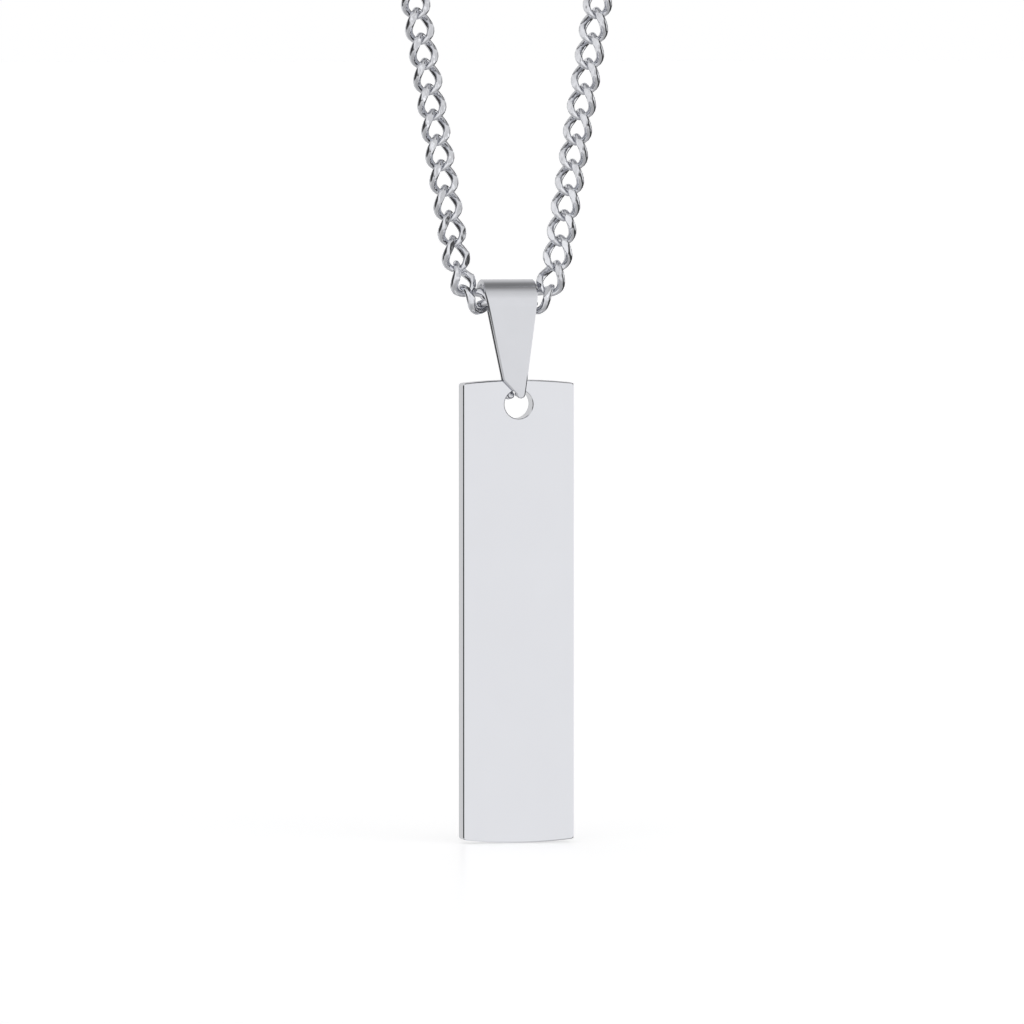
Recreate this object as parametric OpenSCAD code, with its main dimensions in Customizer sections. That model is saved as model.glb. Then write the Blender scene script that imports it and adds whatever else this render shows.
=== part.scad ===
// Bar pendant: a plain steel bar hung from a curb chain by a folded bail.
// The loop hangs in the XZ plane, and its front faces -Y.
// The origin is where the neck carries the loop, under the clasp.

/* [Bar] */
// Height of the bar over the crowns of its arched ends
bar_h = 40; // [25:0.5:60]
// Width of the bar
bar_w = 9.8; // [7:0.1:14]
// Thickness of the bar
bar_t = 1.9; // [1.2:0.1:3]
// Rise of each arched end at its middle
bar_arch = 0.28; // [0.1:0.02:0.6]
// Width of the bevel round both faces
bar_bevel = 0.12; // [0.05:0.01:0.3]
// Diameter of the hole
hole_d = 2.5; // [2.2:0.1:3.2]
// Distance from the upper crown to the centre of the hole
hole_drop = 2.1; // [1.9:0.1:4]
// Width of the bevel round the hole's two rims
hole_bevel = 0.06; // [0.03:0.01:0.12]

/* [Bail] */
// Width of the strip at the fold
bail_w = 4.7; // [3.5:0.1:7]
// Thickness of the strip
bail_t = 0.4; // [0.3:0.05:0.7]
// Distance from the centre of the fold down to the shoulders of the front leg
leg_l = 6.5; // [5:0.1:10]
// Width of the front leg at its shoulders
leg_w = 2.1; // [1.8:0.1:2.4]
// Width of the back leg level with the centre of the fold
back_leg_w = 3; // [2.2:0.1:4]
// Diameter of the front peg, and width of the tongue that carries it
front_peg_d = 0.6; // [0.5:0.05:0.7]
// Diameter of the back peg
back_peg_d = 0.66; // [0.5:0.05:0.75]
// Distance of both legs' shoulders to the right of the middle of the fold
foot_x = 0.44; // [0:0.02:0.6]
// Distance of the front peg to the right of the middle of the shoulders
front_peg_x = 0.5; // [0.35:0.05:0.6]
// Distance of the back peg to the left of the middle of the shoulders
back_peg_x = 0.02; // [0:0.02:0.2]
// Distance of the bar's hole to the right of the middle of the shoulders
bar_x = 0.42; // [0.3:0.02:0.5]
// Distance from the shoulders of the front leg down to the centre of the bar's hole
hole_below = 2.1; // [1.9:0.05:2.6]
// Margin of each leg's metal round its peg
peg_margin = 0.1; // [0.05:0.01:0.2]

/* [Chain] */
// Length of the closed loop, clasp included
chain_l = 500; // [400:5:600]
// Width of a link
link_w = 2.84; // [2.4:0.04:3.2]
// Diameter of the wire
wire_d = 0.66; // [0.5:0.02:0.8]
// Distance from link to link
link_pitch = 2.21; // [2:0.01:3]
// Thickness of a link over its filed flats
link_t = 1.3; // [1:0.05:1.5]
// Lean of each strand from the vertical, in degrees
strand_lean = 9.2; // [7:0.1:12]
// Share of each strand's links that are built singly, from the bail up
single_share = 0.67; // [0.3:0.01:0.7]

/* [Clasp] */
// Length of the clasp's body
clasp_l = 9.6; // [8:0.2:14]
// Height of the clasp's body
clasp_h = 5.6; // [4.6:0.2:8]
// Thickness of the clasp's body
clasp_t = 1.6; // [1.2:0.1:1.8]
// Width of the clasp's rim round its opening
clasp_rim = 1.1; // [0.8:0.1:1.4]
// Mean diameter of the clasp's eye
eye_d = 2.7; // [2.4:0.1:3.4]
// Mean diameter of the jump ring
ring_d = 4.2; // [4:0.1:5]
// Diameter of the ring's and the eye's wire
ring_wire = 0.8; // [0.6:0.05:1]

/* [Clearances] */
// Least gap between two wires that hook into each other
wire_gap = 0.13; // [0.12:0.01:0.16]
// Gap between a link's reach and the inside of the fold, all round
fold_gap = 0.36; // [0.3:0.02:0.8]
// Gap between the bar's face and the foot of each leg
side_gap = 0.15; // [0.1:0.01:0.3]
// Running gap between a peg and the rim of the hole
peg_gap = 0.04; // [0.03:0.01:0.08]
// Gap from the ends of the pegs to the middle of the bar
peg_end_gap = 0.12; // [0.08:0.02:0.3]

/* [Hidden] */
steel = [0.82, 0.83, 0.85];
bright_steel = [0.88, 0.88, 0.9];
$fn = 96;

// The chain's few chosen turns beside the bail, a row a link, from inside the bail outwards:
// [how steeply it climbs and how far it is rolled about its length, in degrees,
//  how much less than link_pitch it spans]
climb = 0;
roll = 1;
slack = 2;
turns = [[0, -63, 0], [40.4, -54, 0.32], [71, -40, 0], [90 - strand_lean, -24, 0]];

// Link: half axes of the wire's centre line, and how far the ends are twisted
link_a = (link_pitch + wire_d + wire_gap) / 2;
link_b = (link_w - wire_d) / 2;
link_c = link_b / 2;
link_sides = 10;
wire_sides = 5;
LEFT = 1;
RIGHT = -1;
PLAIN = 0;

// Links inside the bail, whose outer joints may lie an inset inside its edges, and links that
// turn up beside it before the straight strand
joint_inset = 0.22;
inside = max(2, ceil((bail_w - 2 * joint_inset) / link_pitch));
beside = len(turns) - 2;

// Stretch round the neck: sides and rings of its sweep
neck_sides = 8;
neck_rings = 18;

// Clasp: how much its outline narrows to the right, and where its eye and the jump ring lie
clasp_taper = 0.18;
eye_x = clasp_l / 2 + eye_d / 2 - ring_wire / 8;
ring_x = clasp_l / 2 - clasp_rim / 2;
// Lean of both rings out of the level, so that they clear the corners of what they hook
ring_lean = 35;
back_foot_share = 0.4;

// Chain route, in the plane of the loop: start of the strand, then the round top
strand_x = turned_joint(beside).x;
strand_rise = turned_joint(beside).y;
half_strand_l = chain_l / 2 - turned_l(beside);
top_r = (half_strand_l + strand_x / sin(strand_lean)) / (1 / tan(strand_lean) + (90 + strand_lean) * PI / 180);
straight_l = top_r / tan(strand_lean) - strand_x / sin(strand_lean);
apex_z = clasp_h / 2;
top_z = apex_z - top_r;
strand_z = top_z - top_r * sin(strand_lean) - straight_l * cos(strand_lean);
fold_z = strand_z - strand_rise;
single_n = floor(single_share * half_strand_l / link_pitch);

// Bail
fold_in_r = link_w / 2 + fold_gap;
fold_out_r = fold_in_r + bail_t;
fold_lap = bail_t / 2;
foot_y = bar_t / 2 + side_gap;
crown_z = fold_out_r / 2;

// Bar's hole, and the pegs that carry it, measured from the centre of the fold
hole_r = hole_d / 2;
hole_z = -leg_l - hole_below;
front_peg_z = peg_z(front_peg_d, front_peg_x);
back_peg_z = peg_z(back_peg_d, -back_peg_x);
leg_reach = max(-front_peg_z, -back_peg_z) + front_peg_d;
leg_slant = asin((fold_in_r - foot_y) / leg_reach);

// Height at which a peg of that size and place bears on the upper rim of the hole
function peg_z(d, x) = hole_z + sqrt(pow(hole_r - d / 2 - peg_gap, 2) - pow(x - bar_x, 2));

// Length of the k-th link's span beside the bail
function span(k) = link_pitch - turns[k][slack];

// Distance along the chain from the middle of the bail to the upper end of the k-th link
function turned_l(k) = k == 0 ? inside * span(0) / 2 : turned_l(k - 1) + span(k);

// Place of the joint there, on the right side, measured from the middle of the fold
function turned_joint(k) = k == 0
    ? [turned_l(0), 0]
    : turned_joint(k - 1) + span(k) * [cos(turns[k][climb]), sin(turns[k][climb])];

// A point of the strand's centre line at a distance s up from its start, on the right side
function along(s) = s < straight_l
    ? [strand_x + s * sin(strand_lean), strand_z + s * cos(strand_lean)]
    : let (turn = (s - straight_l) / top_r * 180 / PI - strand_lean)
      [top_r * cos(turn), top_z + top_r * sin(turn)];

// Joints between links on the right side: across the bail, up beside it, up the strand
joints = concat(
    [for (k = [0 : inside]) [(k - inside / 2) * span(0), fold_z]],
    [for (k = [1 : beside - 1]) [0, fold_z] + turned_joint(k)],
    [for (k = [0 : single_n]) along(k * link_pitch)]
);

// One point on the wire's centre line, twisted to the left or the right hand
function wire(t, hand) = [link_b * sin(t), hand * link_c * sin(2 * t), link_a * cos(t)];

// Keeps a point between the two filed flats
function filed(p) = [p.x, max(-link_t / 2, min(link_t / 2, p.y)), p.z];

// A ring of points round the wire at t, filed flat front and back
function wire_ring(t, hand) = let (
        here = wire(t, hand),
        ahead = wire(t + 1, hand) - wire(t - 1, hand),
        run = ahead / norm(ahead),
        out = [sin(t), 0, cos(t)],
        side = cross(run, out) / norm(cross(run, out)),
        up = cross(side, run)
    )
    [for (k = [0 : wire_sides - 1]) let (w = k * 360 / wire_sides)
        filed(here + wire_d / 2 * (cos(w) * up + sin(w) * side))];

// Faces of a closed or an open sweep of rings, each with the same number of points
function sweep_faces(rings, sides, closed) = [
    for (i = [0 : rings - (closed ? 1 : 2)], k = [0 : sides - 1])
        let (j = (i + 1) % rings, m = (k + 1) % sides)
        [i * sides + k, j * sides + k, j * sides + m, i * sides + m]];

module link(hand) {
    points = [for (k = [0 : link_sides - 1]) each wire_ring(k * 360 / link_sides, hand)];
    polyhedron(points, sweep_faces(link_sides, wire_sides, true));
}

// A link from one joint to the next one, rolled about its length. Its own Z runs from a to b.
module link_between(a, b, hand, turned) {
    translate([(a.x + b.x) / 2, 0, (a.y + b.y) / 2])
        rotate([0, atan2(b.x - a.x, b.y - a.y), 0])
            rotate(turned) link(hand);
}

// The links of the right strand from a joint upwards. The left strand is its mirror image.
module strand_from(first) {
    for (i = [first : len(joints) - 2])
        link_between(joints[i], joints[i + 1], RIGHT, link_roll(i));
}

// How far the link above a joint is rolled: most in the bail, then easing off up the strand
function link_roll(i) = let (k = max(0, i - inside + 1)) k < len(turns) ? turns[k][roll] : 0;

// A ring of points round the stretch that goes round the neck, as wide and as thick as a link
function neck_ring(s) = let (
        here = along(s),
        run = along(s + 0.5) - along(s - 0.5),
        out = [run.y, -run.x] / norm(run)
    )
    [for (k = [0 : neck_sides - 1]) let (
            w = (k + 0.5) * 360 / neck_sides,
            across = link_w / 2 * cos(w) / cos(180 / neck_sides)
        )
        [here.x + across * out.x, link_t / 2 * sin(w) / cos(180 / neck_sides), here.y + across * out.y]];

// The stretch round one side of the neck, from the last single link to a distance from the apex
module neck_side(reach) {
    start = single_n * link_pitch + link_a - link_pitch / 2 + wire_d / 2 + wire_gap;
    stop = half_strand_l - top_r * asin(reach / top_r) * PI / 180;
    points = [for (k = [0 : neck_rings - 1]) each neck_ring(start + (stop - start) * k / (neck_rings - 1))];
    last = neck_rings * neck_sides - 1;
    ends = [[for (k = [0 : neck_sides - 1]) k], [for (k = [0 : neck_sides - 1]) last - k]];
    polyhedron(points, concat(sweep_faces(neck_rings, neck_sides, false), ends));
}

module bar() {
    end_r = (pow(bar_w / 2, 2) + pow(bar_arch, 2)) / (2 * bar_arch);
    color(bright_steel)
    translate([foot_x + bar_x, 0, fold_z + hole_z])
    difference() {
        intersection() {
            translate([0, 0, hole_drop - bar_h]) linear_extrude(bar_h) bevelled(bar_w, bar_t);
            arched_end(hole_drop - end_r, end_r);
            arched_end(hole_drop - bar_h + end_r, end_r);
        }
        rotate([90, 0, 0]) cylinder(d = hole_d, h = bar_t + 1, center = true);
        for (side = [0, 180]) rotate([0, 0, side]) translate([0, bar_t / 2, 0]) rotate([90, 0, 0])
            cylinder(r1 = hole_r + 2 * hole_bevel, r2 = hole_r, h = 2 * hole_bevel, center = true);
    }
}

// A rectangle with its corners cut off at 45 degrees
module bevelled(w, t) {
    polygon([for (q = [[1, 1], [-1, 1], [-1, -1], [1, -1]])
        let (wide = [q.x * w / 2, q.y * (t / 2 - bar_bevel)], deep = [q.x * (w / 2 - bar_bevel), q.y * t / 2])
        each q.x * q.y > 0 ? [wide, deep] : [deep, wide]]);
}

// A disc on edge whose bevelled rim gives the bar's arched end
module arched_end(z, r) {
    translate([0, 0, z]) rotate([90, 0, 0])
        rotate_extrude($fn = 360)
            polygon([[0, bar_t / 2], [r - bar_bevel, bar_t / 2], [r, bar_t / 2 - bar_bevel],
                     [r, bar_bevel - bar_t / 2], [r - bar_bevel, -bar_t / 2], [0, -bar_t / 2]]);
}

// Outline of a leg seen from the front: full width over the crown, then a leaning taper to the tongue
module leg_outline(level_w, level_z, shoulder_w, peg_x, peg_d, z) {
    level_x = foot_x * (crown_z - level_z) / (leg_l + crown_z);
    tip = [for (a = [0 : -15 : -180]) [foot_x + peg_x, z] + (peg_d / 2 + peg_margin) * [cos(a), sin(a)]];
    polygon(concat(
        [[-bail_w / 2, fold_out_r + bail_t], [bail_w / 2, fold_out_r + bail_t], [bail_w / 2, crown_z]],
        [[level_x + level_w / 2, level_z], [foot_x + shoulder_w / 2, -leg_l]], tip,
        [[foot_x - shoulder_w / 2, -leg_l], [level_x - level_w / 2, level_z], [-bail_w / 2, crown_z]]));
}

// The folded strip at its full width: the fold, then a slanted leg on each side
module strip() {
    rotate([0, 90, 0]) rotate([0, 0, 90 - leg_slant]) rotate_extrude(angle = 180 + 2 * leg_slant)
        translate([fold_in_r, -bail_w / 2]) square([bail_t, bail_w]);
    for (side = [0, 1]) mirror([0, side, 0]) rotate([-leg_slant, 0, 0])
        translate([-bail_w / 2, fold_in_r, -leg_reach - bail_t]) cube([bail_w, bail_t, leg_reach + bail_t]);
}

// Room for one leg, on the +Y side: its outline, carried across the top of the fold by a lap
module leg_room() {
    rotate([90, 0, 0]) translate([0, 0, -2 * fold_out_r]) linear_extrude(2 * fold_out_r + fold_lap) children();
}

module bail() {
    front_mid_w = leg_w + (bail_w - leg_w) * leg_l / (leg_l + crown_z);
    color(steel)
    translate([0, 0, fold_z]) {
        intersection() {
            strip();
            union() {
                mirror([0, 1, 0]) leg_room()
                    leg_outline(front_mid_w, 0, leg_w, front_peg_x, front_peg_d, front_peg_z);
                leg_room()
                    leg_outline(back_leg_w, 0, back_foot_share * back_leg_w, -back_peg_x, back_peg_d, back_peg_z);
            }
        }
        peg(foot_x + front_peg_x, -1, front_peg_d, front_peg_z);
        peg(foot_x - back_peg_x, 1, back_peg_d, back_peg_z);
    }
}

// A peg from a leg's foot inwards, to just short of the middle of the bar
module peg(x, side, d, z) {
    start = foot_y + bail_t / 2;
    translate([x, side * (peg_end_gap + start) / 2, z])
        rotate([90, 0, 0]) cylinder(d = d, h = start - peg_end_gap, center = true);
}

module chain_right() { color(steel) strand_from(ceil(inside / 2)); }

// The left strand takes the one plain link, which joins the two hands of twist in the bail
module chain_left() {
    middle = ceil(inside / 2);
    color(steel) {
        mirror([1, 0, 0]) strand_from(inside - middle + 1);
        link_between(joints[middle - 1], joints[middle], PLAIN, 135 + turns[0][roll]);
    }
}

module chain_back() {
    color(steel) {
        neck_side(eye_x + eye_d / 2 + ring_wire / 2 + wire_gap);
        mirror([1, 0, 0]) neck_side(ring_x + ring_d / 2 + ring_wire / 2 + wire_gap);
    }
}

// A ring of wire that leans, so that it hooks both the clasp and a link
module wire_loop(x, d) {
    translate([x, 0, apex_z]) rotate([ring_lean, 0, 0])
        rotate_extrude() translate([d / 2, 0]) circle(d = ring_wire, $fn = 32);
}

// A rounded outline, wider at the left than at the right, inset by a margin
function pear(margin) = [for (a = [0 : 10 : 350])
    [(clasp_l / 2 - margin) * cos(a), (clasp_h / 2 - margin) * sin(a) * (1 - clasp_taper * cos(a))]];

module clasp() {
    color(bright_steel) {
        translate([0, clasp_t / 2, apex_z]) rotate([90, 0, 0]) linear_extrude(clasp_t)
            difference() {
                polygon(pear(0));
                polygon(pear(clasp_rim));
            }
        wire_loop(eye_x, eye_d);
    }
}

module jump_ring() { color(steel) wire_loop(-ring_x, ring_d); }

bar();
bail();
chain_left();
chain_right();
chain_back();
clasp();
jump_ring();
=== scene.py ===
"""A plain steel bar pendant in a folded bail on a curb chain, dressed round its CAD solids.

Shapes are worked out in millimetres and turned to metres as each mesh is finished.
The loop hangs in the XZ plane, its front faces -Y, and +Z is up.
"""

from __future__ import annotations

import logging
import math
from dataclasses import dataclass, field
from enum import Enum
from typing import Iterable, Iterator, Sequence

import bmesh
import bpy
from bmesh.types import BMEdge, BMesh, BMLayerItem, BMVert
from bpy.types import ID, Material, Mesh, Node, NodeSocket, NodeTree, Object, World
from mathutils import Matrix, Vector

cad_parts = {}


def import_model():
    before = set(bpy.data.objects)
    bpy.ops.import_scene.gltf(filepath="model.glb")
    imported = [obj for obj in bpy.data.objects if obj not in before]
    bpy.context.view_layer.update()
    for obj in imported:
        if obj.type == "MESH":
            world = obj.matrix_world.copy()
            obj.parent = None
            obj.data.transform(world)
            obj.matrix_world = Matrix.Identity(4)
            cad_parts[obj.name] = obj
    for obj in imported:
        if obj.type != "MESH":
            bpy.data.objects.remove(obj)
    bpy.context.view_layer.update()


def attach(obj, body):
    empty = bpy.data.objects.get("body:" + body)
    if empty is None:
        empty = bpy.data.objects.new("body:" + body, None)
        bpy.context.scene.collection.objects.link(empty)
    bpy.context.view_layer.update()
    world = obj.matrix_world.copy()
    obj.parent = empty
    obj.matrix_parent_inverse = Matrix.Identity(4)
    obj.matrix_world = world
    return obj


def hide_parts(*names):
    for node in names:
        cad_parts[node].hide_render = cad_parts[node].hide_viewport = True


LOG = logging.getLogger("pendant")
MM = 0.001
# From the middle of the bail's fold to the middle of the bar's hole, in mm
FOLD_TO_HOLE = Vector((0.86, 0.0, -8.6))
# Between the bar's foot and the floor, in mm
FLOOR_GAP = 0.05
# Faces that turn by more than this meet at a rim, which wear takes off
RIM_DEG = 60.0
# How near a cutting plane a point lies in it, and how near two points are welded, in mm
CUT_REACH = 1e-5
WELD_REACH = 1e-4
# Faces whose areas differ by less than this count as equal, in square metres
SAME_AREA = 1e-8
# Places of the colour sockets among a Mix node's sockets
MIX_A, MIX_B, MIX_RESULT = 6, 7, 2
# Turns a circle that lies level to face the front
UPRIGHT = Matrix.Rotation(math.pi / 2, 4, "X")


def linear(hex_colour: str, share: float = 1.0) -> tuple[float, float, float, float]:
    """Turns an sRGB hex colour to linear.

    Args:
        hex_colour: six hex digits, such as "d8dadd".
        share: how much of its light is kept.

    Returns:
        The linear red, green and blue, then an alpha of 1.
    """
    parts = [int(hex_colour[i : i + 2], 16) / 255 for i in (0, 2, 4)]
    return (*[share * (p / 12.92 if p <= 0.04045 else ((p + 0.055) / 1.055) ** 2.4) for p in parts], 1.0)


def empty_tree(owner: Material | World) -> NodeTree:
    """Gives a material or world an empty node tree.

    Args:
        owner: the material or world.

    Returns:
        Its tree.
    """
    owner.use_nodes = True
    owner.node_tree.nodes.clear()
    return owner.node_tree


def add_node(
    tree: NodeTree, kind: str, links: dict[str | int, object] | None = None, **settings: object
) -> Node:
    """Adds a node, sets its properties and fills or links its inputs.

    Args:
        tree: the node tree.
        kind: the node's type name.
        links: input name or number to a socket to link from, or to a value.
        **settings: properties of the node.

    Returns:
        The new node.
    """
    node = tree.nodes.new(kind)
    for name, value in settings.items():
        setattr(node, name, value)
    for name, value in (links or {}).items():
        if isinstance(value, NodeSocket):
            tree.links.new(value, node.inputs[name])
        else:
            node.inputs[name].default_value = value
    return node


def add_noise(
    tree: NodeTree, place: NodeSocket, size_mm: float, detail: float, roughness: float = 0.5
) -> NodeSocket:
    """Adds a noise texture.

    Args:
        tree: the node tree.
        place: the coordinates that it runs on.
        size_mm: size of its patches.
        detail: how many finer layers it holds.
        roughness: how strong each finer layer is.

    Returns:
        The noise, from 0 to 1.
    """
    links = {"Vector": place, "Scale": 1 / (size_mm * MM), "Detail": detail, "Roughness": roughness}
    return add_node(tree, "ShaderNodeTexNoise", links).outputs["Fac"]


def add_object(name: str, data: ID) -> Object:
    """Puts a mesh, a light or a camera in the scene.

    Args:
        name: the object's name.
        data: what it shows.

    Returns:
        The object.
    """
    made = bpy.data.objects.new(name, data)
    bpy.context.scene.collection.objects.link(made)
    return made


def take_mesh(shape: BMesh, name: str) -> Mesh:
    """Turns a shape to a mesh.

    Args:
        shape: the shape, which is freed.
        name: the mesh's name.

    Returns:
        The mesh.
    """
    mesh = bpy.data.meshes.new(name)
    shape.to_mesh(mesh)
    shape.free()
    return mesh


def corners(geom: Iterable[object]) -> list[BMVert]:
    """The corners among the geometry that an operator gives back."""
    return [part for part in geom if isinstance(part, BMVert)]


def rims(shape: BMesh) -> list[BMEdge]:
    """The edges at which two faces meet steeply."""
    steep = math.radians(RIM_DEG)
    return [edge for edge in shape.edges if len(edge.link_faces) == 2 and edge.calc_face_angle() > steep]


def wear(shape: BMesh, edges: Sequence[BMEdge], reach: float, steps: int = 1) -> list[BMVert]:
    """Takes off edges, in one flat or as an arc of several.

    Args:
        shape: the mesh.
        edges: the edges to take off.
        reach: how far the flat reaches in from each edge.
        steps: of how many flats the arc is made.

    Returns:
        The new corners.
    """
    worn = {"geom": edges, "offset": reach, "offset_type": "OFFSET", "segments": steps, "affect": "EDGES"}
    return bmesh.ops.bevel(shape, profile=0.5, material=-1, **worn)["verts"]


def thicken(shape: BMesh, thickness: float) -> None:
    """Makes a plate of a flat outline that faces the front, with the outline at the middle of its thickness.

    Args:
        shape: the mesh.
        thickness: front to back.
    """
    grown = bmesh.ops.extrude_face_region(shape, geom=shape.faces, use_keep_orig=True)["geom"]
    bmesh.ops.translate(shape, vec=(0, thickness, 0), verts=corners(grown))
    bmesh.ops.translate(shape, vec=(0, -thickness / 2, 0), verts=shape.verts)
    bmesh.ops.recalc_face_normals(shape, faces=shape.faces)


def crisp(made: Object, sharp_deg: float) -> None:
    """Keeps the edges that turn sharply crisp, and weighs the shading of the rest by face.

    Args:
        made: the object.
        sharp_deg: edges that turn by more than this are crisp.
    """
    made.data.set_sharp_from_angle(angle=math.radians(sharp_deg))
    weigh = made.modifiers.new("even shading", "WEIGHTED_NORMAL")
    weigh.keep_sharp = True
    weigh.weight = 90
    weigh.thresh = SAME_AREA


@dataclass(frozen=True)
class PolishedSteel:
    """Polished 316L stainless steel, with the faint waviness and hairlines that a buffing wheel leaves.

    Attributes:
        name: the material's name.
        colour: sRGB hex of the metal's reflection seen straight on.
        roughness: roughness of the cleanest parts.
        haze: roughness added where the polish is dullest.
        haze_mm: size of the dull patches.
        hairline_mm: spacing of the polishing lines across their run. Real ones are about
            0.01 mm apart, and these are drawn coarser so that they show.
        hairline_depth: their depth, in mm.
        ripple_mm: wavelength of the slow waviness of a buffed face.
        ripple_depth: its depth, in mm.
        stretch: scale of the hairlines' noise along Z, small for long lines.
        clean_dull: the noise at which haze starts, and at which it is full.
        dulled: the share of its light that the dullest metal keeps.
    """

    name: str
    colour: str
    roughness: float
    haze: float
    haze_mm: float
    hairline_mm: float
    hairline_depth: float
    ripple_mm: float
    ripple_depth: float
    stretch: float = 0.06
    clean_dull: tuple[float, float] = (0.35, 0.75)
    dulled: float = 0.96

    def material(self) -> Material:
        """Builds the material.

        Returns:
            The new material, on Object coordinates.
        """
        made = bpy.data.materials.new(self.name)
        tree = empty_tree(made)
        place = add_node(tree, "ShaderNodeTexCoord").outputs["Object"]
        haze = add_noise(tree, place, self.haze_mm, detail=3.0, roughness=0.6)
        clean, dull = self.clean_dull
        span = {"Value": haze, "From Min": clean, "From Max": dull}
        ends = {"To Min": self.roughness, "To Max": self.roughness + self.haze}
        rough = add_node(tree, "ShaderNodeMapRange", {**span, **ends}).outputs["Result"]
        run = add_node(tree, "ShaderNodeMapping", {"Vector": place, "Scale": (1.0, 1.0, self.stretch)})
        normal = None
        for height, depth in (
            (add_noise(tree, place, self.ripple_mm, detail=1.0, roughness=0.3), self.ripple_depth),
            (add_noise(tree, run.outputs["Vector"], self.hairline_mm, detail=2.0), self.hairline_depth),
        ):
            relief = {"Height": height, "Strength": 1.0, "Distance": depth * MM}
            bump = add_node(tree, "ShaderNodeBump", relief)
            if normal:
                tree.links.new(normal, bump.inputs["Normal"])
            normal = bump.outputs["Normal"]
        tones = {MIX_A: linear(self.colour), MIX_B: linear(self.colour, self.dulled)}
        tone = add_node(tree, "ShaderNodeMix", {"Factor": haze, **tones}, data_type="RGBA").outputs[MIX_RESULT]
        metal = {"Base Color": tone, "Metallic": 1.0, "Roughness": rough, "Normal": normal}
        shader = add_node(tree, "ShaderNodeBsdfPrincipled", metal)
        add_node(tree, "ShaderNodeOutputMaterial", {"Surface": shader.outputs["BSDF"]})
        return made


BAR_STEEL = PolishedSteel(
    "mirror_polished_316L_plate",
    "e2e3e7",
    roughness=0.07,
    haze=0.05,
    haze_mm=6.0,
    hairline_mm=0.12,
    hairline_depth=0.0003,
    ripple_mm=9.0,
    ripple_depth=0.05,
)
BAIL_STEEL = PolishedSteel(
    "polished_316L_strip",
    "d9dade",
    roughness=0.10,
    haze=0.08,
    haze_mm=2.0,
    hairline_mm=0.08,
    hairline_depth=0.0006,
    ripple_mm=2.5,
    ripple_depth=0.01,
)
CHAIN_STEEL = PolishedSteel(
    "tumbled_316L_wire",
    "e3e4e8",
    roughness=0.07,
    haze=0.1,
    haze_mm=0.8,
    hairline_mm=0.06,
    hairline_depth=0.0015,
    ripple_mm=0.45,
    ripple_depth=0.04,
)
CLASP_STEEL = PolishedSteel(
    "cast_and_polished_316L",
    "d9dadd",
    roughness=0.12,
    haze=0.08,
    haze_mm=1.5,
    hairline_mm=0.08,
    hairline_depth=0.0005,
    ripple_mm=1.8,
    ripple_depth=0.01,
)


@dataclass(frozen=True)
class SatinAcrylic:
    """White satin acrylic, softly lit from within.

    Attributes:
        name: the material's name.
        colour: sRGB hex of its surface.
        glow: how strong that light is.
        roughness: its least and its greatest roughness.
        grain_mm: size of the rougher patches.
        gloss: how strongly it mirrors. Plain plastic has 0.5.
    """

    name: str = "white_satin_acrylic"
    colour: str = "fafafa"
    glow: float = 0.33
    roughness: tuple[float, float] = (0.28, 0.32)
    grain_mm: float = 50 / 3
    gloss: float = 0.6

    def material(self) -> Material:
        """Builds the material.

        Returns:
            The new material, on Object coordinates.
        """
        made = bpy.data.materials.new(self.name)
        tree = empty_tree(made)
        place = add_node(tree, "ShaderNodeTexCoord").outputs["Object"]
        grain = add_noise(tree, place, self.grain_mm, detail=2.0)
        least, most = self.roughness
        rough = add_node(tree, "ShaderNodeMapRange", {"Value": grain, "To Min": least, "To Max": most})
        acrylic = {
            "Base Color": linear(self.colour),
            "Roughness": rough.outputs["Result"],
            "Specular IOR Level": self.gloss,
            "Emission Color": linear("ffffff"),
            "Emission Strength": self.glow,
        }
        shader = add_node(tree, "ShaderNodeBsdfPrincipled", acrylic)
        add_node(tree, "ShaderNodeOutputMaterial", {"Surface": shader.outputs["BSDF"]})
        return made


@dataclass(frozen=True)
class Piece:
    """One finished piece of the scene.

    Attributes:
        name: the object's name.
        body: the CAD body that it rides on.
        slot: the record's material slot, which is not used.
        replaces: the CAD nodes that it stands for.
    """

    name: str
    body: str
    slot: str
    replaces: tuple[str, ...]

    def finish(self, shape: BMesh, steel: Material) -> Object:
        """Turns a shape in millimetres into the finished object.

        Args:
            shape: the mesh, which is freed.
            steel: its material.

        Returns:
            The object, riding on its body.
        """
        bmesh.ops.scale(shape, vec=(MM, MM, MM), verts=shape.verts)
        mesh = take_mesh(shape, self.name)
        mesh.polygons.foreach_set("use_smooth", [True] * len(mesh.polygons))
        mesh.materials.append(steel)
        made = add_object(self.name, mesh)
        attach(made, self.body)
        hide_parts(*self.replaces)
        LOG.info("%s: %d faces, rides on %s", self.name, len(mesh.polygons), self.body)
        return made


class Twist(Enum):
    """Which way the two ends of a link are twisted out of its plane."""

    LEFT = 1
    RIGHT = -1
    PLAIN = 0


@dataclass(frozen=True)
class Placing:
    """Where one link lies: its two joints, its twist and its roll."""

    start: Vector
    end: Vector
    twist: Twist
    roll_deg: float

    def matrix(self) -> Matrix:
        """Works out where the link goes.

        Returns:
            The transform from the link's own frame, whose Z runs from start to end.
        """
        run = self.end - self.start
        middle = (self.start + self.end) / 2
        aim = Matrix.Rotation(math.atan2(run.x, run.z), 4, "Y")
        return Matrix.Translation(middle) @ aim @ Matrix.Rotation(math.radians(self.roll_deg), 4, "Z")


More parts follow.
